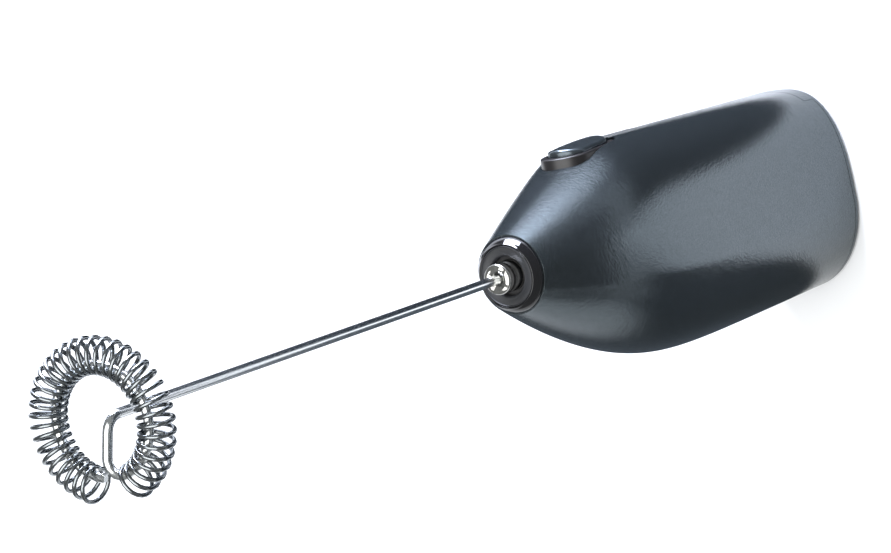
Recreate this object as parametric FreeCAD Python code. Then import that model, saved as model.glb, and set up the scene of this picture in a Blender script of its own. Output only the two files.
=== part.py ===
import FreeCAD, Part
import math
import os
from FreeCAD import Matrix, Vector

# Battery milk frother, standing on its flat rear end. Millimetres.
# +Z runs up the shaft towards the whisk, the button faces -Y, and the broad sides face -X and +X.
# The origin is on the shaft axis, in the plane of the rear end.

# ---- handle: an egg-shaped tube, tapered to the rear, that ends in a bullet nose
body_length = 91.8          # rear face to the front edge of the nose
half_thickness = 15.0       # shaft axis to a broad side, at girth_height
crest_height = 18.1         # shaft axis to the button side, at girth_height
belly_height = 23.3         # shaft axis to the far side, at girth_height
girth_offset = 5.8          # the widest line lies this far towards the belly
girth_height = 56.65        # where the three sizes above are measured
body_taper = 0.0018         # share of the girth lost per millimetre towards the rear
crest_fullness = 2.76       # exponent of the outline towards the button
belly_fullness = 1.98       # exponent of the outline towards the belly
nose_radius = 7.2           # radius of the nose edge
crest_slope = 0.44          # how fast the nose widens towards the button, the sides and the belly
side_slope = 0.41
belly_slope = 0.59
crest_bow = 0.0002          # how much that slope fades per millimetre
side_bow = 0.0032
belly_bow = 0.0042
crest_softness = 0.57       # rounding between nose and tube, in the same three directions
side_softness = 2.0
belly_softness = 2.1
wall = 1.8                  # thickness of the mouldings
station_gap = 2.0           # spacing of the outlines that the handle is drawn through
outline_points = 40         # points on each outline

# ---- gaps
seam = 0.12                 # line between two mouldings that close on each other
snug = 0.02                 # between pieces of one body that are pressed together
slip = 0.15                 # a part that slides into another by hand
running = 0.05              # radial play of a shaft or pin
free_gap = 0.3              # clear space round a moving piece

# ---- nose ring, disc and seal
ring_proud = 1.7            # front of the ring above the nose edge
ring_base_radius = 6.9
ring_front_radius = 5.95
ring_skirt_radius = 6.1
ring_skirt_depth = 3.2
disc_radius = 5.65
disc_thickness = 1.6
disc_sunk = 0.05            # disc face below the front of the ring
disc_hole_radius = 3.55
seal_thickness = 1.2

# ---- ferrule and whisk
ferrule_radius = 2.8
ferrule_proud = 3.1         # ferrule face above the nose disc
ferrule_length = 11.0
ferrule_bevel = 0.35
wire_grip = 7.0             # whisk wire inside the ferrule
stem_radius = 0.9           # thick wire of the whisk
whisk_reach = 113.0         # ferrule face to the middle of the whisk ring
bend_radius = 2.2           # inside bends of the thick wire, on its centreline
ring_radius = 9.65          # core of the whisk ring
ring_drop = 1.0             # ring centre past the shaft axis, along the arm
ring_drift = 1.1            # and sideways
arm_direction = 195.0       # degrees from the button towards the -X side
coil_wire_radius = 0.37
coil_turns = 37
coil_loop_radius = 2.72     # centreline of a turn
coil_span = 328.0           # degrees of the ring that carry turns
coil_clear = 0.1            # thin wire to thick wire, at the inside of the ring

# ---- motor
motor_face_height = 80.4    # front face of the can
can_radius = 9.9
can_flat = 7.55             # axis to each flat side
can_length = 18.4
can_wall = 0.7
end_cap_length = 4.2
boss_radius = 3.0
boss_length = 1.4
motor_shaft_radius = 1.0
bush_radius = 2.2
bush_length = 2.2
magnet_inner_radius = 7.0
magnet_length = 13.0
magnet_lip = 2.5            # the magnets' edges stop this far from the middle
rotor_radius = 6.4
rotor_length = 10.0
pole_arc = 88.0             # degrees of rim on each rotor pole
pole_rim = 1.3
winding_thickness = 1.9
commutator_radius = 2.4
commutator_length = 3.2
brush_thickness = 0.3
brush_width = 1.6

# ---- cells and their contacts
cell_radius = 7.25
cell_length = 50.5
nub_radius = 2.75
nub_length = 1.3
cell_round = 0.6
nub_round = 0.3
cell_pitch = 15.0
cell_centre = 2.6           # middle of the pair, from the shaft axis towards the belly
contact_thickness = 0.4
contact_gap = 1.4           # plate to cell
contact_radius = 5.4
touch_gap = 0.06            # spring or dimple to cell
dimple_tip = 2.15           # radius of the pressed cone's top
dimple_foot = 3.35
spring_seat = 4.6           # radius of a spring's widest turn
plate_tab = 2.4             # width of the tab on each upper plate
spring_wire_radius = 0.25
spring_turns = 2.5
spring_steps = 12           # points on each turn of a spring

# ---- battery cap
cap_rim = 1.5               # visible edge of the cap
cap_edge_round = 0.9
cap_floor = 1.8
spigot_depth = 4.6
spigot_wall = 1.3
latch_width = 17.0
latch_length = 4.3          # rear face to the front edge of the latch tongue

# ---- switch, set on the crest line
button_centre = 65.2        # height of the oval button's middle
button_length = 12.7
button_width = 8.0
button_skirt = 3.2          # crest line down to the underside of the button
dome_rise = 0.5             # top of the dome over the crest line
dome_depth = 2.4            # the dome is part of an ellipsoid of this and the next two half sizes
dome_across = 5.5
dome_along = 16.0
button_edge = 0.7           # rounding of the button's top edge
bezel_length = 16.2
bezel_width = 10.2
bezel_top = 0.95            # crest line down to the top of the bezel
bezel_thickness = 2.3
bezel_edge = 0.35
seat_tip = 4.0              # degrees that the bezel and button lean forward from the crest line
collar_depth = 1.8          # ledge of the collar under the bezel
collar_lip = 1.2            # the collar reaches this far past the bezel, inside the wall
strip_rear = 45.3           # height of the rear end of the flush strip
strip_width = 5.0
strip_thickness = 1.2
pin_height = 47.2
pin_depth = 3.1             # crest line down to the pivot
pin_radius = 0.75
arm_eye_radius = 1.7
arm_depth = 4.4             # crest line down to the underside of the arm
arm_inset = 0.5             # the hidden arm is this much narrower than the strip, each side
arm_setback = 2.0           # it ends this far short of the button's front
web_length = 2.4            # its web through the wall
stalk_half = 1.2            # the stalk from the strip to the eye, each way from the pin
press_angle = 3.2           # full travel of the button, in degrees
lug_thickness = 1.4
return_gap = 0.05           # return spring to arm and to carrier
return_wire_radius = 0.18
return_coil_radius = 1.7
return_turns = 4
bridge_height = 58.6
bridge_width = 4.6
bridge_depth = 1.6
tip_size = 1.0              # square raised tip at each end of the bridge
tip_rise = 0.5
tip_gap = 0.1               # left between tip and contact at full press
post_width = 1.2            # fixed contact under each tip

# ---- carrier and its screws
bulkhead_thickness = 1.6
roof_thickness = 1.0
rib_clearance = 0.1
screw_side = 5.9
screw_belly = 15.9
screw_radius = 0.95
screw_head_radius = 1.7
screw_head_length = 1.2
screw_length = 8.0
screw_boss_radius = 2.3
screw_web = 3.4             # width of the rib from a boss to the wall
lead_radius = 0.55
lead_side = 4.2             # lead to the middle of the handle
lead_overlap = 6.0          # how far a lead runs beside the can

# ---- heights that follow from the sizes above
disc_face = body_length + ring_proud
ferrule_face = disc_face + ferrule_proud
ring_height = ferrule_face + whisk_reach
can_rear = motor_face_height - can_length
end_cap_rear = can_rear - end_cap_length
plate_bottom = cap_floor + contact_thickness + contact_gap + cell_length + contact_gap
plate_top = plate_bottom + contact_thickness
bulkhead_top = plate_top + bulkhead_thickness
cell_bottom = cap_floor + contact_thickness + contact_gap
crest_cell_y = cell_centre - cell_pitch / 2
belly_cell_y = cell_centre + cell_pitch / 2
roof_y = -(can_radius + free_gap)
lead_belly = can_radius + 1.4
crest_lean = math.degrees(math.atan(body_taper * crest_height))
across = Vector(1, 0, 0)
up = Vector(0, 0, 1)


def save(shape, node):
    shape.exportStep(f"parts/{node}.step")


def cylinder(radius, low, high, x=0.0, y=0.0):
    return Part.makeCylinder(radius, high - low, Vector(x, y, low), up)


def tube(outer, inner, low, high, x=0.0, y=0.0):
    return cylinder(outer, low, high, x, y).cut(cylinder(inner, low - 1, high + 1, x, y))


def block(x_low, x_high, y_low, y_high, z_low, z_high):
    corner = Vector(x_low, y_low, z_low)
    return Part.makeBox(x_high - x_low, y_high - y_low, z_high - z_low, corner)


def revolve(profile):
    # profile holds (radius, height) points of a closed outline
    points = [Vector(r, 0, z) for r, z in profile]
    face = Part.Face(Part.makePolygon(points + points[:1]))
    return face.revolve(Vector(0, 0, 0), up, 360)


def between(crest, side, belly, direction):
    # a size that is known on the crest, the sides and the belly, read in any direction
    end = crest if math.cos(direction) > 0 else belly
    return side + (end - side) * math.cos(direction) ** 2


def outline_point(turn, height, inset):
    scale = 1 - body_taper * (girth_height - height)
    rise = math.cos(turn)
    swing = math.sin(turn)
    fullness = crest_fullness if rise > 0 else belly_fullness
    reach = crest_height + girth_offset if rise > 0 else belly_height - girth_offset
    tube_rise = scale * (math.copysign(abs(rise) ** (2 / fullness), rise) * reach - girth_offset)
    tube_swing = scale * math.copysign(abs(swing) ** (2 / fullness), swing) * half_thickness
    direction = math.atan2(tube_swing, tube_rise)
    tube_reach = math.hypot(tube_rise, tube_swing)
    slope = between(crest_slope, side_slope, belly_slope, direction)
    bow = between(crest_bow, side_bow, belly_bow, direction)
    depth = min(body_length - height, slope / (2 * bow))
    nose_reach = nose_radius + slope * depth - bow * depth ** 2
    softness = between(crest_softness, side_softness, belly_softness, direction)
    blend = math.exp(-tube_reach / softness) + math.exp(-nose_reach / softness)
    reach = -softness * math.log(blend) - inset
    return Vector(reach * math.sin(direction), -reach * math.cos(direction), height)


def outline(height, inset):
    turns = [2 * math.pi * i / outline_points for i in range(outline_points)]
    curve = Part.BSplineCurve()
    steps = [i / outline_points for i in range(outline_points + 1)]
    points = [outline_point(turn, height, inset) for turn in turns]
    curve.interpolate(Points=points, PeriodicFlag=True, Parameters=steps)
    return Part.Wire([curve.toShape()])


def handle_form(inset, low, high):
    count = max(2, math.ceil((high - low) / station_gap) + 1)
    heights = [low + (high - low) * i / (count - 1) for i in range(count)]
    return Part.makeLoft([outline(height, inset) for height in heights], True)


def straight_form(inset, low, high):
    # the outline at the lower height, carried straight up
    face = Part.Face(outline(low, inset))
    return face.extrude(Vector(0, 0, high - low))


def on_crest(shape):
    # shapes are drawn with -Y as the way out of an upright crest, then leant with the real one
    leant = shape.copy()
    leant.rotate(Vector(0, -crest_height, girth_height), across, crest_lean)
    return leant


def on_seat(shape):
    # the bezel and button are drawn like the crest, then tipped towards the nose
    tipped = shape.copy()
    tipped.rotate(Vector(0, -crest_height, button_centre), across, -seat_tip)
    return on_crest(tipped)


def crest_oval(length, width, low, high, centre=button_centre):
    # low and high are distances out from the crest line
    run = (length - width) / 2
    r = width / 2
    y = -crest_height - low
    a = Vector(-r, y, centre - run)
    b = Vector(-r, y, centre + run)
    c = Vector(r, y, centre + run)
    d = Vector(r, y, centre - run)
    top = Part.Arc(b, Vector(0, y, centre + run + r), c).toShape()
    bottom = Part.Arc(d, Vector(0, y, centre - run - r), a).toShape()
    sides = [Part.LineSegment(a, b).toShape(), Part.LineSegment(c, d).toShape()]
    face = Part.Face(Part.Wire([sides[0], top, sides[1], bottom]))
    return face.extrude(Vector(0, low - high, 0))


def crest_block(width, low, high, z_low, z_high):
    return block(-width / 2, width / 2, -crest_height - high, -crest_height - low, z_low, z_high)


def crest_rod(radius, x_low, x_high, depth, height):
    start = Vector(x_low, -crest_height + depth, height)
    return Part.makeCylinder(radius, x_high - x_low, start, across)


def wire_through(points, radius):
    # round wire whose centreline passes smoothly through the points
    curve = Part.BSplineCurve()
    curve.interpolate(points)
    path = Part.Wire([curve.toShape()])
    section = Part.Wire([Part.makeCircle(radius, points[0], curve.tangent(curve.FirstParameter)[0])])
    return path.makePipeShell([section], True, True)


def spring(wire_radius, first_radius, last_radius, turns, height):
    # a coil that rises from the origin along Z, from first_radius to last_radius
    steps = math.ceil(turns * spring_steps)
    points = []
    for i in range(steps + 1):
        share = i / steps
        turn = 2 * math.pi * turns * share
        reach = first_radius + (last_radius - first_radius) * share
        points.append(Vector(reach * math.cos(turn), reach * math.sin(turn), height * share))
    return wire_through(points, wire_radius)


# ---- handle pieces

def make_housing():
    shell = handle_form(0, cap_rim + seam, body_length)
    shell = shell.cut(handle_form(wall, 0, body_length - ring_skirt_depth))
    shell = shell.cut(cylinder(ring_skirt_radius + snug, body_length - 2 * ring_skirt_depth, body_length + 1))
    latch = block(-latch_width / 2 - seam, latch_width / 2 + seam, -2 * crest_height, -crest_height / 2,
                  0, latch_length + seam)
    shell = shell.cut(latch)
    # collar that carries the bezel, the bezel's recess, and the opening that the button moves in
    seat_depth = bezel_top + bezel_thickness
    collar_foot = -seat_depth - collar_depth
    broad = crest_oval(bezel_length + 2 * collar_lip, bezel_width + 2 * collar_lip, collar_foot, wall)
    narrow = crest_oval(bezel_length, bezel_width, collar_foot, -seat_depth)
    shell = shell.fuse([on_seat(broad).common(handle_form(wall / 2, cap_rim, body_length)), on_seat(narrow)])
    recess = crest_oval(bezel_length + 2 * seam, bezel_width + 2 * seam, -seat_depth, wall)
    opening = crest_oval(button_length + 2 * free_gap, button_width + 2 * free_gap, 2 * collar_foot, wall)
    slot = crest_block(strip_width + 2 * seam, 2 * collar_foot, wall, strip_rear - seam, button_centre)
    shell = shell.cut(on_seat(recess.fuse(opening))).cut(on_crest(slot))
    # two lugs that hold the lever's pin
    inner = strip_width / 2 + free_gap
    outer = inner + lug_thickness
    for side in (-1, 1):
        lug = block(min(side * inner, side * outer), max(side * inner, side * outer), wall / 2 - crest_height,
                    pin_depth + arm_eye_radius - crest_height, pin_height - arm_eye_radius,
                    pin_height + arm_eye_radius)
        shell = shell.fuse(on_crest(lug))
    shell = shell.cut(on_crest(crest_rod(pin_radius + snug, -outer, outer, pin_depth, pin_height)))
    # bosses for the carrier's screws
    for side in (-1, 1):
        boss = cylinder(screw_boss_radius, bulkhead_top + snug, bulkhead_top + screw_length,
                        side * screw_side, screw_belly)
        web = block(side * screw_side - screw_web / 2, side * screw_side + screw_web / 2, screw_belly, belly_height,
                    bulkhead_top + snug, bulkhead_top + screw_length)
        boss = boss.fuse(web).common(handle_form(wall / 2, bulkhead_top, bulkhead_top + screw_length))
        hole = cylinder(screw_radius, bulkhead_top, bulkhead_top + screw_length - 1, side * screw_side, screw_belly)
        shell = shell.fuse(boss).cut(hole)
    return shell


def make_nose_ring():
    seat = body_length + seam
    back = body_length - ring_skirt_depth
    pocket = disc_face - disc_thickness - seal_thickness
    return revolve([
        (disc_radius + snug, disc_face),
        (ring_front_radius, disc_face),
        (ring_base_radius, seat + 0.2),
        (ring_base_radius, seat),
        (ring_skirt_radius, seat),
        (ring_skirt_radius, back),
        (disc_hole_radius + 0.6, back),
        (disc_hole_radius + 0.6, pocket),
        (disc_radius + snug, pocket),
    ])


def make_nose_disc():
    return tube(disc_radius, disc_hole_radius, disc_face - disc_thickness, disc_face - disc_sunk)


def make_shaft_seal():
    # felt ring that rubs on nothing: it stops just short of the ferrule
    low = disc_face - disc_thickness - seal_thickness + snug
    return tube(disc_radius - snug, ferrule_radius + running * 2, low, low + seal_thickness - 2 * snug)


def make_carrier():
    form = handle_form(wall + rib_clearance, bulkhead_top - 2 * bulkhead_thickness, motor_face_height + 3)
    wide = 2 * belly_height
    front_plate = block(-wide, wide, -wide, wide, motor_face_height + snug, motor_face_height + bulkhead_thickness)
    bulkhead = block(-wide, wide, -wide, wide, plate_top, bulkhead_top)
    body = front_plate.fuse(bulkhead)
    for side in (-1, 1):
        inner = side * (can_flat + slip)
        body = body.fuse(block(min(inner, side * wide), max(inner, side * wide), -can_radius, can_radius,
                               plate_top, motor_face_height + bulkhead_thickness))
    roof = block(-bezel_width / 2, bezel_width / 2, roof_y - roof_thickness, roof_y,
                 plate_top, motor_face_height + bulkhead_thickness)
    body = body.fuse(roof).common(form)
    body = body.cut(cylinder(boss_radius + slip, motor_face_height - 1, motor_face_height + 9))
    body = body.cut(cylinder(boss_radius + slip, plate_top - 1, bulkhead_top + 1))
    body = body.cut(motor_outline(slip, end_cap_rear - snug, motor_face_height))
    # the two leads pass through the bulkhead, and the screws through its belly edge
    for side in (-1, 1):
        body = body.cut(cylinder(lead_radius + slip, plate_top - 1, bulkhead_top + 1, side * lead_side, lead_belly))
        body = body.cut(cylinder(screw_radius + slip, plate_top - 1, bulkhead_top + 1, side * screw_side, screw_belly))
    # room for the lever's eye and lugs
    clear = crest_block(strip_width + 2 * lug_thickness + 4 * free_gap, -pin_depth - arm_eye_radius - 2 * free_gap,
                        wall, strip_rear - 2, bulkhead_top + 4)
    return body.cut(on_crest(clear).common(block(-wide, wide, -wide, roof_y - roof_thickness, 0, body_length)))


def make_screws():
    screws = []
    for side in (-1, 1):
        shank = cylinder(screw_radius - snug, plate_top, plate_top + screw_length, side * screw_side, screw_belly)
        head = cylinder(screw_head_radius, plate_top - screw_head_length, plate_top, side * screw_side, screw_belly)
        head = head.makeFillet(screw_head_length / 2, [head.Edges[2]])
        slot = block(-screw_head_radius, screw_head_radius, -0.25, 0.25, 0, screw_head_length / 2)
        slot.translate(Vector(side * screw_side, screw_belly, plate_top - screw_head_length))
        screws.append(head.fuse(shank).cut(slot))
    return Part.makeCompound(screws)


# ---- battery cap

def make_battery_cap():
    # end plate and latch tongue share one outer skin; the spigot inside them enters the housing
    cap = handle_form(0, 0, latch_length)
    cap = cap.makeFillet(cap_edge_round, [e for e in cap.Edges if e.BoundBox.ZMax < cap_rim])
    wide = 2 * belly_height
    tongue = block(-latch_width / 2, latch_width / 2, -wide, 0, cap_rim, latch_length)
    cap = cap.cut(block(-wide, wide, -wide, wide, cap_rim, latch_length).cut(tongue))
    cap = cap.fuse(straight_form(wall + slip, cap_rim, cap_rim + spigot_depth))
    return cap.cut(straight_form(wall + slip + spigot_wall, cap_floor, cap_rim + spigot_depth))


def contact_dimple(base, rise, y):
    # a pressed cone that reaches rise towards the cell
    low = min(base, base + rise)
    if rise > 0:
        return Part.makeCone(dimple_foot, dimple_tip, rise, Vector(0, y, low), up)
    return Part.makeCone(dimple_tip, dimple_foot, -rise, Vector(0, y, low), up)


def make_cap_contact():
    # one strip joins the two cells in series
    low = cap_floor
    high = cap_floor + contact_thickness
    strip = block(-contact_radius * 0.6, contact_radius * 0.6, crest_cell_y, belly_cell_y, low, high)
    pads = cylinder(contact_radius, low, high, 0, crest_cell_y).fuse(cylinder(contact_radius, low, high, 0, belly_cell_y))
    return strip.fuse(pads).fuse(contact_dimple(high, contact_gap - touch_gap, belly_cell_y))


def make_cell(y, nub_up):
    jacket = cell_length - nub_length
    low = cell_bottom if nub_up else cell_bottom + nub_length
    can = cylinder(cell_radius, low, low + jacket, 0, y)
    can = can.makeFillet(cell_round, [e for e in can.Edges if e.Closed])
    nub_low = low + jacket if nub_up else cell_bottom
    nub = cylinder(nub_radius, nub_low, nub_low + nub_length, 0, y)
    tip = nub_low + nub_length if nub_up else nub_low
    nub = nub.makeFillet(nub_round, [e for e in nub.Edges if e.Closed and abs(e.BoundBox.ZMin - tip) < 0.01])
    return can.fuse(nub)


def make_coil_contact(low, y, upwards):
    height = contact_gap - touch_gap - 2 * spring_wire_radius
    coil = spring(spring_wire_radius, spring_seat, nub_radius, spring_turns, height)
    if not upwards:
        coil.rotate(Vector(0, 0, 0), across, 180)
    shift = spring_wire_radius if upwards else -spring_wire_radius
    coil.translate(Vector(0, y, low + shift))
    return coil


def make_upper_plate(y):
    plate = cylinder(contact_radius, plate_bottom, plate_top, 0, y)
    inward = 1 if y < cell_centre else -1
    tab = block(-plate_tab / 2, plate_tab / 2, min(y, y + inward * contact_radius),
                max(y, y + inward * contact_radius), plate_bottom, plate_top)
    return plate.fuse(tab)


# ---- motor

def motor_outline(gap, low, high):
    flats = can_flat + gap
    return cylinder(can_radius + gap, low, high).common(block(-flats, flats, -2 * can_radius, 2 * can_radius, low, high))


def make_motor_can():
    can = motor_outline(0, can_rear, motor_face_height)
    can = can.cut(motor_outline(-can_wall, can_rear - 1, motor_face_height - can_wall))
    boss = cylinder(boss_radius, motor_face_height, motor_face_height + boss_length)
    bore = cylinder(bush_radius + snug, motor_face_height - 2, motor_face_height + 9)
    return can.fuse(boss).cut(bore)


def make_motor_end_cap():
    cap = motor_outline(0, end_cap_rear, can_rear)
    plug = motor_outline(-can_wall - snug, can_rear, can_rear + 1)
    cavity = motor_outline(-can_wall - 1.2, end_cap_rear + 1.2, can_rear + 2)
    boss = cylinder(boss_radius, end_cap_rear - boss_length, end_cap_rear)
    bore = cylinder(bush_radius + snug, end_cap_rear - 9, end_cap_rear + 2)
    cap = cap.fuse([plug, boss]).cut(cavity).cut(bore)
    slots = block(-can_flat, can_flat, -brush_width / 2 - slip, brush_width / 2 + slip,
                  can_rear - 0.8, can_rear + 2)
    return cap.cut(slots)


def make_magnet(side):
    # one arc magnet against the round wall of the can; side is -1 for the crest and 1 for the belly
    low = can_rear + (can_length - magnet_length) / 2
    high = low + magnet_length
    arc = tube(can_radius - can_wall - snug, magnet_inner_radius, low, high)
    reach = can_flat - can_wall - snug
    arc = arc.common(block(-reach, reach, magnet_lip, 2 * can_radius, low, high))
    if side < 0:
        arc.rotate(Vector(0, 0, 0), up, 180)
    return arc


def make_bush(low):
    return tube(bush_radius, motor_shaft_radius + running, low, low + bush_length)


def make_motor_shaft():
    low = end_cap_rear - boss_length + 0.3
    return cylinder(motor_shaft_radius, low, ferrule_face - wire_grip - 0.5)


def make_rotor_core():
    middle = can_rear + can_length / 2
    low = middle - rotor_length / 2
    high = middle + rotor_length / 2
    core = tube(2.4, motor_shaft_radius, low, high)
    rim = tube(rotor_radius, rotor_radius - pole_rim, low, high)
    half = math.radians(pole_arc / 2)
    reach = 2 * rotor_radius
    for i in range(3):
        corner_a = Vector(reach * math.cos(half), -reach * math.sin(half), low)
        corner_b = Vector(reach * math.cos(half), reach * math.sin(half), low)
        wedge = Part.Face(Part.makePolygon([Vector(0, 0, low), corner_a, corner_b, Vector(0, 0, low)]))
        pole = wedge.extrude(Vector(0, 0, rotor_length)).common(rim)
        tooth = block(2, rotor_radius - pole_rim / 2, -1, 1, low, high).cut(cylinder(2.2, low - 1, high + 1))
        pole = pole.fuse(tooth)
        pole.rotate(Vector(0, 0, 0), up, 120 * i)
        core = core.fuse(pole)
    return core


def make_windings():
    middle = can_rear + can_length / 2
    low = middle - rotor_length / 2
    high = middle + rotor_length / 2
    coils = []
    for i in range(3):
        inner = block(2.6, rotor_radius - pole_rim - 0.3, -1 - snug, 1 + snug, low - snug, high + snug)
        outer = block(2.6, rotor_radius - pole_rim - 0.3, -winding_thickness, winding_thickness,
                      low - winding_thickness / 2, high + winding_thickness / 2)
        coil = outer.cut(inner).common(cylinder(rotor_radius - pole_rim - 0.1, low - 5, high + 5))
        coil.rotate(Vector(0, 0, 0), up, 120 * i)
        coils.append(coil)
    return Part.makeCompound(coils)


def make_commutator():
    low = can_rear - 1.6
    ring = tube(commutator_radius, motor_shaft_radius, low, low + commutator_length)
    for i in range(3):
        slit = block(commutator_radius - 0.5, commutator_radius + 1, -0.15, 0.15, low - 1, low + commutator_length + 1)
        slit.rotate(Vector(0, 0, 0), up, 120 * i + 60)
        ring = ring.cut(slit)
    return ring


def make_brush(side):
    # a leaf that presses on the commutator, and its terminal through the end cap's slot
    low = can_rear - 0.6
    touch = commutator_radius + running
    leaf = block(touch, touch + brush_thickness, -brush_width / 2, brush_width / 2, low, low + 1.6)
    arm = block(touch, can_flat - can_wall - 0.4, -brush_width / 2, brush_width / 2, low, low + brush_thickness)
    brush = leaf.fuse(arm)
    if side < 0:
        brush.rotate(Vector(0, 0, 0), up, 180)
    return brush


# ---- whisk

def make_ferrule():
    low = ferrule_face - ferrule_length
    body = cylinder(ferrule_radius, low, ferrule_face)
    body = body.makeChamfer(ferrule_bevel, [e for e in body.Edges if e.Closed and e.BoundBox.ZMin > low + 1])
    body = body.cut(cylinder(stem_radius, ferrule_face - wire_grip, ferrule_face + 1))
    return body.cut(cylinder(motor_shaft_radius, low - 1, ferrule_face - wire_grip - 0.5))


def arm_frame(shape):
    # the whisk is drawn with its arm along -Y and turned to its resting direction
    turned = shape.copy()
    turned.rotate(Vector(0, 0, 0), up, -arm_direction)
    return turned


def make_stem():
    # shaft, bend, arm, bend and ring core are one wire
    start = Vector(0, 0, ferrule_face - wire_grip)
    bend_start = Vector(0, 0, ring_height - bend_radius)
    bend_mid = Vector(0, -bend_radius * (1 - math.cos(math.pi / 4)),
                      ring_height - bend_radius + bend_radius * math.sin(math.pi / 4))
    bend_end = Vector(0, -bend_radius, ring_height)
    # the ring is a circle about its own centre; the arm meets it through a second bend in its plane
    centre = Vector(-ring_drift, -ring_drop, ring_height)
    # centre of the second bend: bend_radius from the arm line and ring_radius - bend_radius from the ring centre
    turn_x = bend_radius
    span = ring_radius - bend_radius
    turn_y = centre.y - math.sqrt(span ** 2 - (turn_x - centre.x) ** 2)
    turn = Vector(turn_x, turn_y, ring_height)
    arm_end = Vector(0, turn_y, ring_height)
    outward = turn - centre
    outward.normalize()
    joint = centre + outward * ring_radius
    start_angle = math.atan2(outward.y, outward.x)
    arm_side = Vector(-1, 0, 0)
    middle = arm_side + outward
    middle.normalize()
    second_mid = turn + middle * bend_radius
    sweep = math.radians(coil_span + 4)
    ring_mid = centre + Vector(math.cos(start_angle + sweep / 2), math.sin(start_angle + sweep / 2), 0) * ring_radius
    ring_end = centre + Vector(math.cos(start_angle + sweep), math.sin(start_angle + sweep), 0) * ring_radius
    edges = [
        Part.LineSegment(start, bend_start).toShape(),
        Part.Arc(bend_start, bend_mid, bend_end).toShape(),
        Part.LineSegment(bend_end, arm_end).toShape(),
        Part.Arc(arm_end, second_mid, joint).toShape(),
        Part.Arc(joint, ring_mid, ring_end).toShape(),
    ]
    section = Part.Wire([Part.makeCircle(stem_radius, start, up)])
    stem = Part.Wire(edges).makePipeShell([section], True, True)
    return stem, centre, start_angle


def make_coil(centre, start_angle):
    # thin wire wound round the ring core; its turns stand outwards and touch the core on the inside
    lift = coil_loop_radius - coil_wire_radius - stem_radius - coil_clear
    loop_centre = ring_radius + lift
    steps_per_turn = 10
    steps = coil_turns * steps_per_turn
    points = []
    for i in range(steps + 1):
        around = start_angle + math.radians(4 + (coil_span - 6) * i / steps)
        wind = 2 * math.pi * i / steps_per_turn
        reach = loop_centre - coil_loop_radius * math.cos(wind)
        points.append(Vector(centre.x + reach * math.cos(around), centre.y + reach * math.sin(around),
                             centre.z + coil_loop_radius * math.sin(wind)))
    return wire_through(points, coil_wire_radius)


# ---- switch

def make_bezel():
    plate = crest_oval(bezel_length, bezel_width, -bezel_top - bezel_thickness, -bezel_top)
    plate = plate.makeFillet(bezel_edge, [e for e in plate.Edges if abs(e.BoundBox.YMin + crest_height - bezel_top) < 0.01
                                    and abs(e.BoundBox.YMax + crest_height - bezel_top) < 0.01])
    hole = crest_oval(button_length + 2 * free_gap, button_width + 2 * free_gap, -3 * wall, wall)
    notch = crest_block(strip_width + 2 * seam, -3 * wall, wall, strip_rear, button_centre)
    return on_seat(plate.cut(hole)).cut(on_crest(notch))


def make_button():
    skirt = crest_oval(button_length, button_width, -button_skirt, 2 * dome_rise)
    ball = Part.makeSphere(1)
    stretch = Matrix()
    stretch.scale(dome_across, dome_depth, dome_along)
    dome = ball.transformGeometry(stretch)
    dome.translate(Vector(0, -crest_height - dome_rise + dome_depth, button_centre))
    base = crest_block(2 * button_width, -2 * button_skirt, dome_rise - dome_depth, button_centre - button_length,
                       button_centre + button_length)
    button = skirt.common(dome.fuse(base))
    # the dome meets the skirt along the rim that lies above the bezel
    rim = [e for e in button.Edges if e.BoundBox.YMax < bezel_top - crest_height]
    return on_seat(button.makeFillet(button_edge, rim))


def make_arm():
    # flush strip, its web down through the wall, the hidden arm under the button and the pivot eye
    strip_front = button_centre - button_length / 2 - free_gap
    strip = crest_block(strip_width, -strip_thickness, 0, strip_rear, strip_front)
    arm_front = button_centre + button_length / 2 - arm_setback
    web_low = strip_front - web_length
    arm_width = strip_width - 2 * arm_inset
    web = crest_block(arm_width, -arm_depth, -strip_thickness / 2, web_low, strip_front)
    under = crest_block(arm_width, -arm_depth, seat_tip_rise() - button_skirt, web_low, arm_front)
    eye = crest_rod(arm_eye_radius, -strip_width / 2, strip_width / 2, pin_depth, pin_height)
    stalk = crest_block(strip_width, -pin_depth, -strip_thickness / 2, pin_height - stalk_half, pin_height + stalk_half)
    body = strip.fuse([web, under, eye, stalk])
    bore = crest_rod(pin_radius + running, -strip_width, strip_width, pin_depth, pin_height)
    return on_crest(body.cut(bore)).cut(make_button())


def seat_tip_rise():
    # how much the button's rear end is raised by its lean
    return math.tan(math.radians(seat_tip)) * button_length / 2


def make_pin():
    reach = strip_width / 2 + free_gap + lug_thickness
    return on_crest(crest_rod(pin_radius, -reach, reach, pin_depth, pin_height))


def make_bridge():
    high = -arm_depth
    bar = crest_block(bridge_width, high - contact_thickness, high, bridge_height - bridge_depth / 2,
                      bridge_height + bridge_depth / 2)
    for side in (-1, 1):
        tip = crest_block(tip_size, high - contact_thickness - tip_rise, high - contact_thickness,
                          bridge_height - tip_size / 2, bridge_height + tip_size / 2)
        tip.translate(Vector(side * tip_x(), 0, 0))
        bar = bar.fuse(tip)
    return on_crest(bar)


def tip_x():
    return (bridge_width - tip_size) / 2


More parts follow.
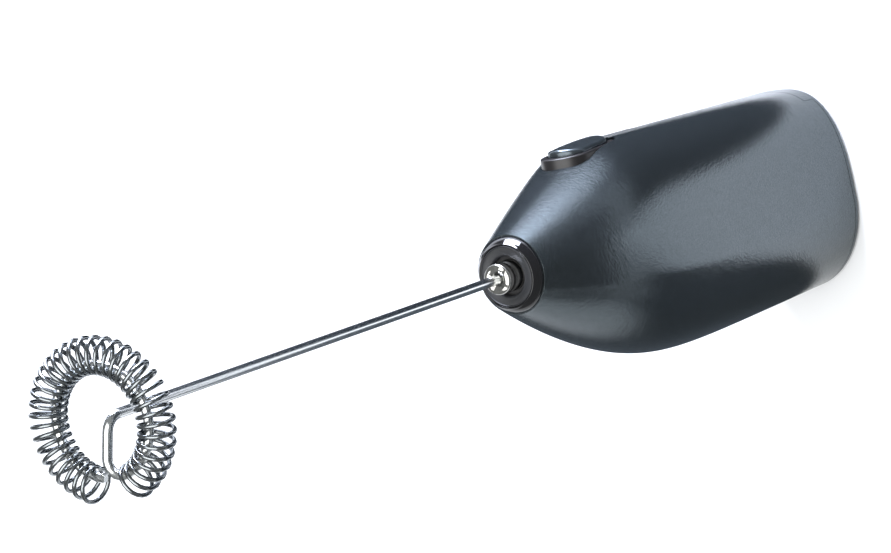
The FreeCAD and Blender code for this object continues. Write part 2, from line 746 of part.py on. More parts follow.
def make_switch_contact(side):
    # a strip on the carrier's roof with a raised end under one tip of the bridge
    travel = math.tan(math.radians(press_angle)) * (bridge_height - pin_height)
    lean = math.tan(math.radians(crest_lean)) * (bridge_height - girth_height)
    tip_depth = arm_depth + contact_thickness + tip_rise
    top = tip_depth + travel + tip_gap - crest_height - lean
    foot = roof_y - roof_thickness
    low_x = side * tip_x() - post_width / 2
    high_x = low_x + post_width
    post = block(low_x, high_x, top, foot, bridge_height - bridge_depth / 2, bridge_height + bridge_depth / 2)
    strip = block(low_x, high_x, foot - contact_thickness, foot, bulkhead_top, bridge_height)
    return post.fuse(strip)


def make_return_spring():
    lean = math.tan(math.radians(crest_lean)) * (button_centre - girth_height)
    top = crest_height + lean - arm_depth
    foot = -roof_y + roof_thickness
    height = top - foot - 2 * (return_wire_radius + return_gap)
    coil = spring(return_wire_radius, return_coil_radius, return_coil_radius, return_turns, height)
    coil.rotate(Vector(0, 0, 0), across, 90)
    coil.translate(Vector(0, -foot - return_wire_radius - return_gap, button_centre))
    return coil


# ---- leads

def make_lead(side):
    # from its hole in the bulkhead up beside the can's belly side
    return cylinder(lead_radius, plate_top, can_rear + lead_overlap, side * lead_side, lead_belly)


# ---- every piece

os.makedirs("parts", exist_ok=True)
stem, ring_centre, ring_start = make_stem()
nodes = {
    "battery_cap": make_battery_cap,
    "cap_contact": make_cap_contact,
    "cap_spring": lambda: make_coil_contact(cap_floor + contact_thickness, crest_cell_y, True),
    "cell_crest": lambda: make_cell(crest_cell_y, True),
    "cell_belly": lambda: make_cell(belly_cell_y, False),
    "housing": make_housing,
    "nose_ring": make_nose_ring,
    "nose_disc": make_nose_disc,
    "shaft_seal": make_shaft_seal,
    "motor_carrier": make_carrier,
    "carrier_screws": make_screws,
    "positive_contact": lambda: make_upper_plate(crest_cell_y).fuse(
        contact_dimple(plate_bottom, touch_gap - contact_gap, crest_cell_y)),
    "negative_contact": lambda: make_upper_plate(belly_cell_y),
    "negative_spring": lambda: make_coil_contact(plate_bottom, belly_cell_y, False),
    "motor_can": make_motor_can,
    "motor_end_cap": make_motor_end_cap,
    "magnet_crest": lambda: make_magnet(-1),
    "magnet_belly": lambda: make_magnet(1),
    "front_bush": lambda: make_bush(motor_face_height + boss_length - bush_length),
    "rear_bush": lambda: make_bush(end_cap_rear - boss_length),
    "brush_left": lambda: make_brush(-1),
    "brush_right": lambda: make_brush(1),
    "motor_shaft": make_motor_shaft,
    "rotor_core": make_rotor_core,
    "rotor_windings": make_windings,
    "commutator": make_commutator,
    "ferrule": make_ferrule,
    "whisk_stem": lambda: arm_frame(stem),
    "whisk_coil": lambda: arm_frame(make_coil(ring_centre, ring_start)),
    "switch_bezel": make_bezel,
    "switch_button": make_button,
    "switch_arm": make_arm,
    "switch_pin": make_pin,
    "switch_bridge": make_bridge,
    "contact_left": lambda: make_switch_contact(-1),
    "contact_right": lambda: make_switch_contact(1),
    "switch_spring": make_return_spring,
    "lead_left": lambda: make_lead(-1),
    "lead_right": lambda: make_lead(1),
}
for node, make in nodes.items():
    shape = make()
    solids = len(shape.Solids)
    box = shape.BoundBox
    print(f"{node:18s} solids {solids} valid {shape.isValid()} volume {shape.Volume:9.2f} "
          f"x {box.XMin:.1f}..{box.XMax:.1f} y {box.YMin:.1f}..{box.YMax:.1f} z {box.ZMin:.1f}..{box.ZMax:.1f}")
    save(shape, node)
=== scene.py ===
import math

import bmesh
import bpy
from mathutils import Matrix, Vector


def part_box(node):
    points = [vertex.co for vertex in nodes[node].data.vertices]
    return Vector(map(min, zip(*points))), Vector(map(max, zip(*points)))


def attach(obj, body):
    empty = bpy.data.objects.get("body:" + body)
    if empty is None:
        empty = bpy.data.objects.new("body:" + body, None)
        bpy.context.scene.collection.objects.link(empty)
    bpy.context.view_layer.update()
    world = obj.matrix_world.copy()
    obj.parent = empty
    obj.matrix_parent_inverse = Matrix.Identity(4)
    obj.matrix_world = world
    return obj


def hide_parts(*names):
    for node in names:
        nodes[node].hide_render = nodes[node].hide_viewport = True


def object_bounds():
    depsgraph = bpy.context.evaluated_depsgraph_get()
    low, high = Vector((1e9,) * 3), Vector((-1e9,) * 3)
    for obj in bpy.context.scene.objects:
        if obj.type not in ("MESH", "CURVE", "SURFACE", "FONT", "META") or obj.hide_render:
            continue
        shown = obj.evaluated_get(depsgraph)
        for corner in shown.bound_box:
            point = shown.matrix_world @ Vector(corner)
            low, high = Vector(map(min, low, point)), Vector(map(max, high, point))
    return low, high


# Looks of a battery milk frother that stands on its flat rear end.
# Metres, +Z up the shaft, button towards -Y.

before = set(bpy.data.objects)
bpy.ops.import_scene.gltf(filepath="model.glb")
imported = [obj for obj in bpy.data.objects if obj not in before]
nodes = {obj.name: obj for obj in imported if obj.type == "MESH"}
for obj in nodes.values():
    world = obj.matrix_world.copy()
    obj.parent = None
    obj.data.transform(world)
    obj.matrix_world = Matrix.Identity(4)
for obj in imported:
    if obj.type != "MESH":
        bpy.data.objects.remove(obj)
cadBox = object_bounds()
mm = 0.001


# finishes

def toLinear(hexColour):
    # sRGB hex to the linear colour that a socket takes
    parts = [int(hexColour[i:i + 2], 16) / 255 for i in (1, 3, 5)]
    return [c / 12.92 if c <= 0.04045 else ((c + 0.055) / 1.055) ** 2.4 for c in parts] + [1.0]


def perSize(sizeInMm):
    # texture scale whose pattern repeats about once in the given size
    return 1 / (sizeInMm * mm)


def addNode(tree, kind, values=None, links=None, **settings):
    node = tree.nodes.new(kind)
    for name, value in settings.items():
        setattr(node, name, value)
    for name, value in (values or {}).items():
        node.inputs[name].default_value = value
    for name, socket in (links or {}).items():
        tree.links.new(socket, node.inputs[name])
    return node


def startFinish(name):
    material = bpy.data.materials.new(name)
    material.use_nodes = True
    tree = material.node_tree
    tree.nodes.clear()
    return material, tree, addNode(tree, "ShaderNodeTexCoord").outputs["Object"]


def closeFinish(tree, values, links):
    shader = addNode(tree, "ShaderNodeBsdfPrincipled", values, links)
    addNode(tree, "ShaderNodeOutputMaterial", links={"Surface": shader.outputs["BSDF"]})


def twoTone(tree, factor, dark, light):
    # colour that runs from dark to light with the factor
    mix = addNode(tree, "ShaderNodeMix", {6: toLinear(dark), 7: toLinear(light)}, {0: factor},
                  data_type="RGBA")
    return mix.outputs[2]


def spread(tree, factor, low, high):
    # number that runs from low to high with the factor
    ranged = addNode(tree, "ShaderNodeMapRange", {"To Min": low, "To Max": high}, {"Value": factor})
    return ranged.outputs["Result"]


pearlShell = {"dark": "#434a4d", "light": "#52595d", "metallic": 0.85, "roughness": 0.21, "grain": 0.45,
              "relief": 0.05, "flake": 0.16}


def sparkErodedPearlPlastic(name, look):
    # moulded ABS with metal flake in it, from a spark-eroded mould:
    # fine leathery grain that glitters in a highlight
    material, tree, place = startFinish(name)
    grain = addNode(tree, "ShaderNodeTexNoise",
                    {"Scale": perSize(look["grain"]), "Detail": 3.0, "Roughness": 0.6}, {"Vector": place})
    flakes = addNode(tree, "ShaderNodeTexVoronoi", {"Scale": perSize(look["flake"])}, {"Vector": place})
    flake = addNode(tree, "ShaderNodeSeparateColor", links={"Color": flakes.outputs["Color"]}).outputs["Red"]
    cloud = addNode(tree, "ShaderNodeTexNoise", {"Scale": perSize(9.0), "Detail": 2.0}, {"Vector": place})
    bump = addNode(tree, "ShaderNodeBump", {"Strength": 0.8, "Distance": look["relief"] * mm},
                   {"Height": grain.outputs["Fac"]})
    rough = spread(tree, cloud.outputs["Fac"], look["roughness"] - 0.04, look["roughness"] + 0.04)
    closeFinish(tree, {"Metallic": look["metallic"], "IOR": 1.54},
                {"Base Color": twoTone(tree, flake, look["dark"], look["light"]), "Roughness": rough,
                 "Normal": bump.outputs["Normal"]})
    return material


def mouldedPlastic(name, dark, light, roughness, grain, relief):
    # plain moulded ABS: even colour, faint mould grain of the given size
    material, tree, place = startFinish(name)
    noise = addNode(tree, "ShaderNodeTexNoise", {"Scale": perSize(grain), "Detail": 2.0}, {"Vector": place})
    bump = addNode(tree, "ShaderNodeBump", {"Strength": 0.4, "Distance": relief * mm},
                   {"Height": noise.outputs["Fac"]})
    rough = spread(tree, noise.outputs["Fac"], roughness - 0.04, roughness + 0.04)
    closeFinish(tree, {"Metallic": 0.0, "IOR": 1.54},
                {"Base Color": twoTone(tree, noise.outputs["Fac"], dark, light), "Roughness": rough,
                 "Normal": bump.outputs["Normal"]})
    return material


def drawnWire(name, dark, light, roughness, streak, length):
    # steel wire pulled through a die: bright, with fine lines along Z
    material, tree, place = startFinish(name)
    stretch = addNode(tree, "ShaderNodeMapping", {"Scale": (1, 1, streak / length)}, {"Vector": place})
    lines = addNode(tree, "ShaderNodeTexNoise", {"Scale": perSize(streak), "Detail": 3.0},
                    {"Vector": stretch.outputs["Vector"]})
    bump = addNode(tree, "ShaderNodeBump", {"Strength": 0.25, "Distance": 0.01 * mm},
                   {"Height": lines.outputs["Fac"]})
    rough = spread(tree, lines.outputs["Fac"], roughness - 0.06, roughness + 0.08)
    closeFinish(tree, {"Metallic": 1.0},
                {"Base Color": twoTone(tree, lines.outputs["Fac"], dark, light), "Roughness": rough,
                 "Normal": bump.outputs["Normal"]})
    return material


def metalFinish(name, dark, light, roughness, grain, relief, metallic=1.0):
    # plated, rolled or sintered metal: grain of the given size in the shine and a slight mottle in the colour
    material, tree, place = startFinish(name)
    noise = addNode(tree, "ShaderNodeTexNoise", {"Scale": perSize(grain), "Detail": 4.0}, {"Vector": place})
    bump = addNode(tree, "ShaderNodeBump", {"Strength": 0.35, "Distance": relief * mm},
                   {"Height": noise.outputs["Fac"]})
    rough = spread(tree, noise.outputs["Fac"], roughness - 0.05, roughness + 0.06)
    closeFinish(tree, {"Metallic": metallic},
                {"Base Color": twoTone(tree, noise.outputs["Fac"], dark, light), "Roughness": rough,
                 "Normal": bump.outputs["Normal"]})
    return material


def layeredFinish(name, dark, light, roughness, pitch, direction, metallic=1.0):
    # stacked sheets or side-by-side turns: one dark line per layer
    material, tree, place = startFinish(name)
    bands = addNode(tree, "ShaderNodeTexWave", {"Scale": perSize(pitch) / 20, "Distortion": 0.4},
                    {"Vector": place}, bands_direction=direction)
    bump = addNode(tree, "ShaderNodeBump", {"Strength": 0.6, "Distance": 0.05 * mm},
                   {"Height": bands.outputs["Fac"]})
    closeFinish(tree, {"Metallic": metallic, "Roughness": roughness},
                {"Base Color": twoTone(tree, bands.outputs["Fac"], dark, light),
                 "Normal": bump.outputs["Normal"]})
    return material


def pressedFelt(name):
    # wool felt washer: no shine, short matted fibres
    material, tree, place = startFinish(name)
    fibres = addNode(tree, "ShaderNodeTexNoise", {"Scale": perSize(0.25), "Detail": 5.0, "Distortion": 1.5},
                     {"Vector": place})
    bump = addNode(tree, "ShaderNodeBump", {"Strength": 0.9, "Distance": 0.12 * mm},
                   {"Height": fibres.outputs["Fac"]})
    closeFinish(tree, {"Roughness": 0.95, "Sheen Weight": 0.4},
                {"Base Color": twoTone(tree, fibres.outputs["Fac"], "#1c1c1d", "#39393b"),
                 "Normal": bump.outputs["Normal"]})
    return material


def printedFilm(name, low, high, bodyColour, bandColour, bandLength):
    # glossy shrink film round a cell: plain body with one generic colour band at the positive end, by height
    material, tree, place = startFinish(name)
    height = addNode(tree, "ShaderNodeSeparateXYZ", links={"Vector": place}).outputs["Z"]
    share = addNode(tree, "ShaderNodeMapRange", {"From Min": low, "From Max": high}, {"Value": height})
    ramp = addNode(tree, "ShaderNodeValToRGB", links={"Fac": share.outputs["Result"]})
    ramp.color_ramp.interpolation = "CONSTANT"
    ramp.color_ramp.elements[0].color = toLinear(bodyColour if bandLength > 0 else bandColour)
    ramp.color_ramp.elements[1].position = 1 - bandLength if bandLength > 0 else -bandLength
    ramp.color_ramp.elements[1].color = toLinear(bandColour if bandLength > 0 else bodyColour)
    scuffs = addNode(tree, "ShaderNodeTexNoise", {"Scale": perSize(1.6), "Detail": 5.0}, {"Vector": place})
    closeFinish(tree, {"IOR": 1.5, "Metallic": 0.25},
                {"Base Color": ramp.outputs["Color"],
                 "Roughness": spread(tree, scuffs.outputs["Fac"], 0.22, 0.36)})
    return material


pearlButton = dict(pearlShell, dark="#4a5155", light="#575e63", roughness=0.25, grain=0.3, relief=0.02)
shellFinish = sparkErodedPearlPlastic("spark_eroded_pearl_abs", pearlShell)
buttonFinish = sparkErodedPearlPlastic("satin_pearl_abs", pearlButton)
glossBlack = mouldedPlastic("polished_black_abs", "#0b0b0d", "#101013", 0.09, 2.5, 0.004)
satinBlack = mouldedPlastic("satin_black_abs", "#1d1e21", "#24262a", 0.42, 0.3, 0.02)
bezelBlack = mouldedPlastic("satin_brown_black_abs", "#0f0d0e", "#171415", 0.38, 0.3, 0.015)
innerBlack = mouldedPlastic("plain_moulded_black_abs", "#18191b", "#232427", 0.55, 0.5, 0.03)
polishedNickel = metalFinish("polished_nickel_plate", "#a3a29e", "#c6c5c1", 0.12, 0.8, 0.01)
contactNickel = metalFinish("pressed_nickelled_strip", "#b9b8b2", "#d0cfc9", 0.25, 0.4, 0.012)
shaftSteel = drawnWire("drawn_stainless_rod", "#c2c5c6", "#e2e4e4", 0.18, 0.06, 9.0)
coilSteel = drawnWire("drawn_stainless_spring_wire", "#63676a", "#9a9ea0", 0.2, 0.08, 0.3)
springSteel = drawnWire("patented_spring_wire", "#8d8f90", "#b1b3b4", 0.3, 0.06, 0.3)
zincSteel = metalFinish("zinc_plated_deep_drawn_steel", "#a2a6aa", "#bfc3c6", 0.3, 1.2, 0.015)
laminatedSteel = layeredFinish("stacked_electrical_steel", "#2f3032", "#77797b", 0.4, 0.5, "Z")
sinteredFerrite = metalFinish("sintered_ferrite", "#222224", "#37373a", 0.7, 0.15, 0.04, 0.1)
sinteredBronze = metalFinish("oil_filled_sintered_bronze", "#7a5a38", "#a98252", 0.45, 0.2, 0.03)
rolledBrass = metalFinish("rolled_brass_strip", "#b2924a", "#cfb26a", 0.28, 0.5, 0.01)
enamelledCopper = layeredFinish("enamelled_copper_turns", "#5a2412", "#b5623a", 0.32, 0.25, "X")
copperLeaf = metalFinish("beryllium_copper_leaf", "#a35b38", "#c27a52", 0.3, 0.4, 0.01)
feltWasher = pressedFelt("pressed_wool_felt")
redSleeve = mouldedPlastic("extruded_red_pvc", "#7c1512", "#8e1d18", 0.4, 0.6, 0.01)
blackSleeve = mouldedPlastic("extruded_black_pvc", "#151516", "#1f1f21", 0.4, 0.6, 0.01)

cadFinishes = {
    "battery_cap": shellFinish, "housing": shellFinish, "switch_arm": shellFinish,
    "cap_contact": contactNickel, "positive_contact": contactNickel, "negative_contact": contactNickel,
    "cap_spring": springSteel, "negative_spring": springSteel, "switch_spring": springSteel,
    "carrier_screws": springSteel, "motor_shaft": shaftSteel, "switch_pin": shaftSteel,
    "switch_button": buttonFinish, "switch_bezel": bezelBlack, "shaft_seal": feltWasher,
    "motor_carrier": innerBlack, "motor_end_cap": innerBlack, "motor_can": zincSteel,
    "magnet_crest": sinteredFerrite, "magnet_belly": sinteredFerrite,
    "front_bush": sinteredBronze, "rear_bush": sinteredBronze,
    "brush_left": copperLeaf, "brush_right": copperLeaf,
    "rotor_core": laminatedSteel, "rotor_windings": enamelledCopper, "commutator": rolledBrass,
    "switch_bridge": rolledBrass, "contact_left": rolledBrass, "contact_right": rolledBrass,
    "lead_left": redSleeve, "lead_right": blackSleeve,
}
for node, finish in cadFinishes.items():
    for place in nodes[node].material_slots:
        place.material = finish
print("finishes on", len(cadFinishes), "CAD nodes")


# mesh helpers

def finishPiece(bm, name, materials, body, node, smoothAngle=35.0):
    bmesh.ops.remove_doubles(bm, verts=bm.verts, dist=1e-6)
    bmesh.ops.recalc_face_normals(bm, faces=bm.faces)
    mesh = bpy.data.meshes.new(name)
    bm.to_mesh(mesh)
    bm.free()
    mesh.shade_smooth()
    mesh.set_sharp_from_angle(angle=math.radians(smoothAngle))
    piece = bpy.data.objects.new(name, mesh)
    bpy.context.scene.collection.objects.link(piece)
    for material in materials:
        mesh.materials.append(material)
    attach(piece, body)
    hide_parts(node)
    return piece


def lathe(profile, steps, centre=(0.0, 0.0)):
    # profile holds (radius, height) points in mm, turned once round a vertical axis
    bm = bmesh.new()
    verts = [bm.verts.new((centre[0] + r * mm, centre[1], z * mm)) for r, z in profile]
    edges = [bm.edges.new(pair) for pair in zip(verts, verts[1:])]
    bmesh.ops.spin(bm, geom=verts + edges, cent=(*centre, 0), axis=(0, 0, 1), dvec=(0, 0, 0),
                   angle=2 * math.pi, steps=steps, use_merge=True)
    return bm


def arc(radius, height, size, start, sweep=90, steps=4):
    # points of an arc of the given size round (radius, height); angles in degrees from outwards to upwards
    turns = [math.radians(start + sweep * i / steps) for i in range(steps + 1)]
    return [(radius + size * math.cos(turn), height + size * math.sin(turn)) for turn in turns]


def startRing(bm, count):
    return list(bmesh.ops.create_circle(bm, segments=count, radius=1.0, cap_ends=False)["verts"])


def ringEdges(bm, ring):
    return [bm.edges.get(pair) for pair in zip(ring, ring[1:] + ring[:1])]


def nextRing(bm, ring):
    # extrudes a closed ring and returns the new verts in the same order
    grown = set(bmesh.ops.extrude_edge_only(bm, edges=ringEdges(bm, ring))["geom"])
    return [next(e.other_vert(v) for e in v.link_edges if e.other_vert(v) in grown) for v in ring]


def closeRing(bm, ring):
    bmesh.ops.contextual_create(bm, geom=ringEdges(bm, ring))


def sweepWire(path, radius, sides, blunt=0.3):
    # a circle carried along the path without twist, with its two ends slightly rounded
    bm = bmesh.new()
    last = len(path) - 1
    side = (path[1] - path[0]).orthogonal()
    stations = []
    for i, point in enumerate(path):
        along = (path[min(i + 1, last)] - path[max(i - 1, 0)]).normalized()
        side = (side - along * side.dot(along)).normalized()
        stations.append((point, along, side, radius))
    trim = radius * blunt
    point, along, side, _ = stations[0]
    stations.insert(0, (point - along * trim, along, side, radius - trim))
    point, along, side, _ = stations[-1]
    stations.append((point + along * trim, along, side, radius - trim))
    ring = startRing(bm, sides)
    first = ring
    for i, (point, along, side, reach) in enumerate(stations):
        if i > 0:
            ring = nextRing(bm, ring)
        other = along.cross(side)
        for k, vert in enumerate(ring):
            turn = 2 * math.pi * k / sides
            vert.co = point + (side * math.cos(turn) + other * math.sin(turn)) * reach
    closeRing(bm, first)
    closeRing(bm, ring)
    return bm


# nose ring and disc

nose = {"frontRadius": 5.85, "lipRound": 0.14, "baseRound": 0.25, "faceBulge": 0.08, "discRadius": 5.5,
        "ridge": 0.22, "ridgeRise": 0.1, "holeRadius": 3.55, "holeRound": 0.5, "dish": 0.18}


def makeNoseRing():
    low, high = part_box("nose_ring")
    faceHeight = high.z / mm
    baseRadius = high.x / mm
    foot = low.z / mm
    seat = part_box("housing")[1].z / mm + 0.12
    inner = nose["discRadius"] + 0.03
    span = Vector((nose["frontRadius"] - baseRadius, faceHeight - seat - nose["baseRound"]))
    bulge = [(baseRadius + span.x * t + nose["faceBulge"] * math.sin(math.pi * t),
              seat + nose["baseRound"] + span.y * t) for t in (0.25, 0.5, 0.75)]
    profile = [(inner, foot), (6.2, foot), (6.2, seat), (baseRadius - 0.12, seat)]
    footRound = nose["baseRound"] / 2
    profile += arc(baseRadius - footRound, seat + footRound, footRound, -60, 80)
    profile += [(r - 0.06, z) for r, z in bulge]
    lip = nose["lipRound"]
    profile += arc(nose["frontRadius"] - lip, faceHeight - lip, lip, 20, 70)
    profile += [(inner + 0.06, faceHeight), (inner, faceHeight - 0.06), (inner, foot)]
    bm = lathe(profile, 96)
    return finishPiece(bm, "noseRing", [glossBlack], "handle", "nose_ring", 50.0)


def makeNoseDisc():
    low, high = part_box("nose_disc")
    face = high.z / mm
    back = low.z / mm
    edge = nose["discRadius"] - 0.02
    hole = nose["holeRadius"]
    profile = [(hole, back), (edge, back), (edge, face - 0.05)]
    profile += arc(edge - nose["ridge"] / 2, face - 0.05, nose["ridge"] / 2, 0, 180, 6)
    profile += [(edge - nose["ridge"] - 0.04, face - nose["ridgeRise"]),
                (edge - 1.0, face - nose["ridgeRise"]),
                (hole + nose["holeRound"] + 0.2, face - nose["dish"])]
    mouth = nose["holeRound"]
    profile += arc(hole + mouth, face - nose["dish"] - mouth, mouth, 90, 90, 5)
    profile += [(hole, back)]
    bm = lathe(profile, 96)
    return finishPiece(bm, "noseDisc", [satinBlack], "handle", "nose_disc", 40.0)


makeNoseRing()
makeNoseDisc()
print("nose ring and disc")


# ferrule, crimped on the shaft

ferrule = {"edgeRound": 0.55, "lipRadius": 1.75, "wellDepth": 0.45, "dents": 5, "dentDepth": 0.16,
           "groove": 0.12}


def makeFerrule():
    low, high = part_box("ferrule")
    face = high.z / mm
    foot = low.z / mm
    radius = high.x / mm
    wire = 0.93
    edge = ferrule["edgeRound"]
    lip = ferrule["lipRadius"]
    profile = [(1.0, foot), (radius, foot), (radius, face - 2.6)]
    profile += [(radius - ferrule["groove"], face - 2.45), (radius - ferrule["groove"], face - 2.2),
                (radius, face - 2.05), (radius, face - 1.4)]
    profile += arc(radius - edge, face - edge - 0.08, edge, 0, 70, 6)
    profile += [(lip + 0.35, face), (lip, face - 0.05), (lip - 0.3, face - ferrule["wellDepth"] * 0.7),
                (wire + 0.12, face - ferrule["wellDepth"]), (wire, face - ferrule["wellDepth"] - 0.3),
                (wire, foot + 1.0), (1.0, foot)]
    bm = lathe(profile, 90)
    # the crimping jaws leave shallow dents round the rim of the well
    for vert in bm.verts:
        reach = math.hypot(vert.co.x, vert.co.y) / mm
        depth = face - vert.co.z / mm
        if depth < 0.4 and reach < lip + 0.8:
            around = math.atan2(vert.co.y, vert.co.x)
            uneven = 0.65 + 0.35 * math.sin(2 * around + 0.8)
            wave = uneven * max(0.0, math.cos(ferrule["dents"] * around + 0.9 * math.sin(around))) ** 2
            vert.co.z -= ferrule["dentDepth"] * wave * (1 - depth) * mm
    return finishPiece(bm, "ferruleCollar", [polishedNickel], "whisk", "ferrule", 50.0)


makeFerrule()
print("ferrule")


# whisk: one thick wire, and thin wire wound on its ring

whisk = {"wireRadius": 0.9, "bendRadius": 2.6, "ringRadius": 9.65, "ringDrop": 1.0, "ringDrift": 1.1,
         "armDirection": 195.0, "coverage": 328.0, "turns": 37, "coilWireRadius": 0.4, "turnRadius": 3.0,
         "clear": 0.1, "stepsPerTurn": 20}


def bend(centre, fromAngle, toAngle, radius, steps, axisA, axisB):
    # points of an arc round a centre in the plane of two axes, angles in degrees
    turns = [math.radians(fromAngle + (toAngle - fromAngle) * i / steps) for i in range(steps + 1)]
    return [centre + (axisA * math.cos(turn) + axisB * math.sin(turn)) * radius for turn in turns]


def whiskFrame():
    # the whisk is drawn with its arm along -Y and turned to where it rests
    return Matrix.Rotation(math.radians(-whisk["armDirection"]), 4, "Z")


def ringPlace():
    # centre of the ring, where the ring leaves its bend, and the centre of that bend, in mm
    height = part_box("whisk_stem")[1].z / mm - whisk["wireRadius"]
    centre = Vector((-whisk["ringDrift"], -whisk["ringDrop"], height))
    bendX = whisk["bendRadius"]
    span = whisk["ringRadius"] - whisk["bendRadius"]
    bendY = centre.y - math.sqrt(span ** 2 - (bendX - centre.x) ** 2)
    turnCentre = Vector((bendX, bendY, height))
    outward = turnCentre - centre
    return centre, turnCentre, math.degrees(math.atan2(outward.y, outward.x))


def makeStem():
    centre, turnCentre, start = ringPlace()
    height = centre.z
    radius = whisk["bendRadius"]
    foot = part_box("whisk_stem")[0].z / mm
    east, north, upward = Vector((1, 0, 0)), Vector((0, 1, 0)), Vector((0, 0, 1))
    straight = [Vector((0, 0, foot + (height - radius - foot) * i / 40)) for i in range(40)]
    shoulder = bend(Vector((0, -radius, height - radius)), 0, 90, radius, 10, north, upward)
    arm = [Vector((0, -radius + (turnCentre.y + radius) * i / 8, height)) for i in range(1, 8)]
    elbow = bend(turnCentre, 180, start + 360, radius, 10, east, north)
    hoop = bend(centre, start, start + whisk["coverage"] + 4, whisk["ringRadius"], 110, east, north)
    path = [whiskFrame() @ (point * mm) for point in straight + shoulder + arm + elbow + hoop[1:]]
    bm = sweepWire(path, whisk["wireRadius"] * mm, 20)
    return finishPiece(bm, "whiskWire", [shaftSteel], "whisk", "whisk_stem", 40.0)


def makeCoil():
    centre, _, start = ringPlace()
    turn = whisk["turnRadius"]
    lift = turn - whisk["coilWireRadius"] - whisk["wireRadius"] - whisk["clear"]
    steps = whisk["turns"] * whisk["stepsPerTurn"]
    path = []
    for i in range(steps + 1):
        around = math.radians(start + 4 + (whisk["coverage"] - 6) * i / steps)
        wind = 2 * math.pi * i / whisk["stepsPerTurn"]
        reach = whisk["ringRadius"] + lift - turn * math.cos(wind)
        path.append(Vector((centre.x + reach * math.cos(around), centre.y + reach * math.sin(around),
                            centre.z + turn * math.sin(wind))))
    path = [whiskFrame() @ (point * mm) for point in path]
    bm = sweepWire(path, whisk["coilWireRadius"] * mm, 10)
    return finishPiece(bm, "whiskCoil", [coilSteel], "whisk", "whisk_coil", 40.0)


makeStem()
makeCoil()
print("whisk wire and coil")


# cells

cell = {"jacketRadius": 7.2, "endRound": 0.55, "lipWidth": 0.7, "nubRadius": 2.75, "nubRound": 0.35,
        "washerRadius": 4.6, "stepDepth": 0.25}


def makeCell(node, positiveUp):
    low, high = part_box(node)
    centre = ((low.x + high.x) / 2, (low.y + high.y) / 2)
    length = (high.z - low.z) / mm
    jacket = cell["jacketRadius"]
    edge = cell["endRound"]
    nubFoot = length - 1.3
    profile = [(0.0, cell["stepDepth"]), (jacket - cell["lipWidth"] - 0.5, cell["stepDepth"]),
               (jacket - cell["lipWidth"] - 0.3, 0.02)]
    profile += arc(jacket - edge, edge, edge, 270, 90)
    profile += arc(jacket - edge, nubFoot - edge, edge, 0, 90)
    profile += [(jacket - cell["lipWidth"] - 0.3, nubFoot - 0.02),
                (jacket - cell["lipWidth"] - 0.45, nubFoot - 0.3),
                (cell["washerRadius"], nubFoot - 0.3), (cell["washerRadius"] - 0.2, nubFoot - 0.05),
                (cell["nubRadius"] + 0.3, nubFoot - 0.02), (cell["nubRadius"], nubFoot + 0.2)]
    profile += arc(cell["nubRadius"] - cell["nubRound"], length - cell["nubRound"], cell["nubRound"], 0, 90)
    profile += [(0.0, length)]
    bm = lathe(profile, 64, centre)
    for face in bm.faces:
        middle = face.calc_center_median()
        reach = math.hypot(middle.x - centre[0], middle.y - centre[1]) / mm
        face.material_index = 0 if reach > jacket - cell["lipWidth"] - 0.35 else 1
    if positiveUp:
        place = Matrix.Translation((0, 0, low.z))
    else:
        place = Matrix.Translation((0, 0, high.z)) @ Matrix.Diagonal((1, 1, -1, 1))
    bmesh.ops.transform(bm, matrix=place, verts=bm.verts)
    film = printedFilm("printed_cell_film_" + node[5:], low.z, high.z, "#23272c", "#5f9aa3",
                       0.26 if positiveUp else -0.26)
    name = "cell" + node[5:].capitalize()
    return finishPiece(bm, name, [film, contactNickel], node, node, 40.0)


makeCell("cell_crest", True)
makeCell("cell_belly", False)
print("cells")


# studio

studio = {"floorSize": 6.0, "floorColour": "#f4f5f6", "worldColour": "#f3f7f8", "worldStrength": 0.33,
          "tilt": 37.32, "swing": 10.0, "roll": 19.23, "distance": 1.5, "focal": 344.9, "sensor": 36.0,
          "aimRight": -8.875, "aimUp": 0.65}


# place, length along X, width along Y and colour; the cards start just clear of the handle
cards = {"crestCard": ((0.05, -0.1163, 0.0005), 0.34, 0.1915, "#23282c"),
         "bellyCard": ((0.02, 0.087, 0.0005), 0.28, 0.126, "#444a4f"),
         "farSideCard": ((-0.7, 0.1, 0.0005), 1.1, 1.2, "#3c4145")}

# place, target, width, height, power and colour
softboxes = {"overheadSoftbox": ((-0.2, 0.1, 1.6), (0, 0, 0), 1.8, 1.8, 39, "#ffffff"),
             "buttonSideSoftbox": ((0.10, -0.62, 0.17), (0, 0, 0.08), 0.42, 0.26, 18, "#e6ecff")}


def cameraAxes():
    tilt, swing, roll = (math.radians(studio[key]) for key in ("tilt", "swing", "roll"))
    back = Vector((-math.sin(tilt) * math.cos(swing), -math.sin(tilt) * math.sin(swing), math.cos(tilt)))
    level = Vector((-math.cos(tilt) * math.cos(swing), -math.cos(tilt) * math.sin(swing), -math.sin(tilt)))
    flat = Vector((math.sin(swing), -math.cos(swing), 0))
    right = level * math.cos(roll) - flat * math.sin(roll)
    above = level * math.sin(roll) + flat * math.cos(roll)
    return right, above, back


def makeCamera():
    right, above, back = cameraAxes()
    ferruleFace = Vector((0, 0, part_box("ferrule")[1].z))
    aim = ferruleFace + right * studio["aimRight"] * mm + above * studio["aimUp"] * mm
    data = bpy.data.cameras.new("studioCamera")
    data.lens = studio["focal"]
    data.sensor_width = studio["sensor"]
    data.clip_start = 0.05
    data.clip_end = 50.0
    camera = bpy.data.objects.new("studioCamera", data)
    bpy.context.scene.collection.objects.link(camera)
    turned = Matrix((right, above, back)).transposed().to_4x4()
    camera.matrix_world = Matrix.Translation(aim + back * studio["distance"]) @ turned
    bpy.context.scene.camera = camera


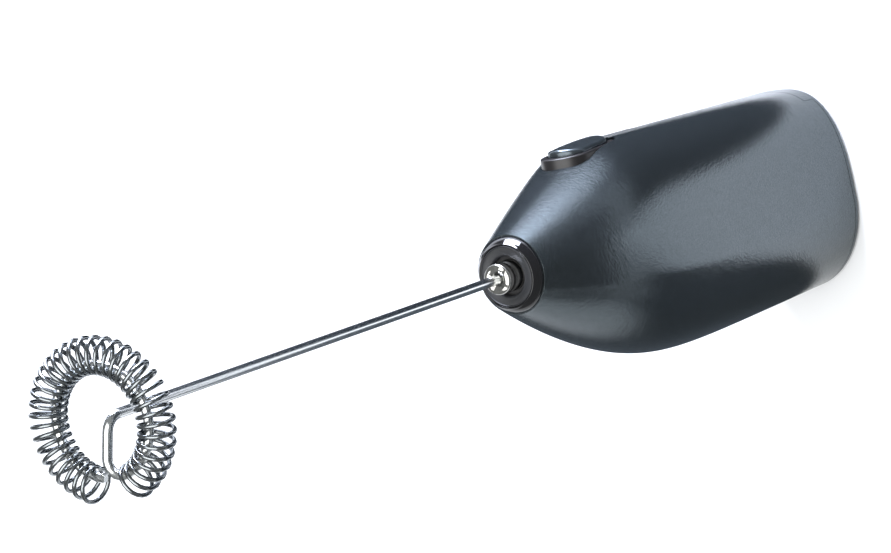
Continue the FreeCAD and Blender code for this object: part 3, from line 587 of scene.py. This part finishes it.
def makeFloor():
    bm = bmesh.new()
    bmesh.ops.create_grid(bm, x_segments=1, y_segments=1, size=studio["floorSize"] / 2)
    mesh = bpy.data.meshes.new("studioFloor")
    bm.to_mesh(mesh)
    bm.free()
    floor = bpy.data.objects.new("studioFloor", mesh)
    bpy.context.scene.collection.objects.link(floor)
    floor.location.z = cadBox[0].z - 0.0001
    material, tree, place = startFinish("matt_white_paper")
    fibre = addNode(tree, "ShaderNodeTexNoise", {"Scale": perSize(2.0), "Detail": 2.0}, {"Vector": place})
    closeFinish(tree, {"Base Color": toLinear(studio["floorColour"]), "Specular IOR Level": 0.0},
                {"Roughness": spread(tree, fibre.outputs["Fac"], 0.85, 0.95)})
    mesh.materials.append(material)


def makeCard(name, place, length, width, colour):
    # dark card on the floor beside the handle; only its reflection shows, as a dark band along the shell
    bm = bmesh.new()
    bmesh.ops.create_grid(bm, x_segments=1, y_segments=1, size=0.5)
    mesh = bpy.data.meshes.new(name)
    bm.to_mesh(mesh)
    bm.free()
    card = bpy.data.objects.new(name, mesh)
    bpy.context.scene.collection.objects.link(card)
    card.scale = (length, width, 1)
    card.location = place
    material, tree, spot = startFinish("flocked_card_" + name)
    fibre = addNode(tree, "ShaderNodeTexNoise", {"Scale": perSize(0.5)}, {"Vector": spot})
    closeFinish(tree, {"Base Color": toLinear(colour), "Specular IOR Level": 0.0},
                {"Roughness": spread(tree, fibre.outputs["Fac"], 0.9, 1.0)})
    mesh.materials.append(material)
    card.visible_camera = False
    card.visible_diffuse = False
    card.visible_shadow = False


def softbox(name, place, target, width, height, power, colour):
    data = bpy.data.lights.new(name, "AREA")
    data.shape = "RECTANGLE"
    data.size = width
    data.size_y = height
    data.energy = power
    data.color = toLinear(colour)[:3]
    light = bpy.data.objects.new(name, data)
    bpy.context.scene.collection.objects.link(light)
    light.location = place
    light.rotation_euler = (Vector(target) - Vector(place)).to_track_quat("-Z", "Y").to_euler()
    return light


def makeWorld():
    world = bpy.data.worlds.new("studioWorld")
    bpy.context.scene.world = world
    world.use_nodes = True
    ground = world.node_tree.nodes["Background"]
    ground.inputs["Color"].default_value = toLinear(studio["worldColour"])
    ground.inputs["Strength"].default_value = studio["worldStrength"]


makeCamera()
makeFloor()
for name, settings in cards.items():
    makeCard(name, *settings)
makeWorld()
for name, settings in softboxes.items():
    softbox(name, *settings)
bpy.context.scene.view_settings.view_transform = "Standard"
print("studio")
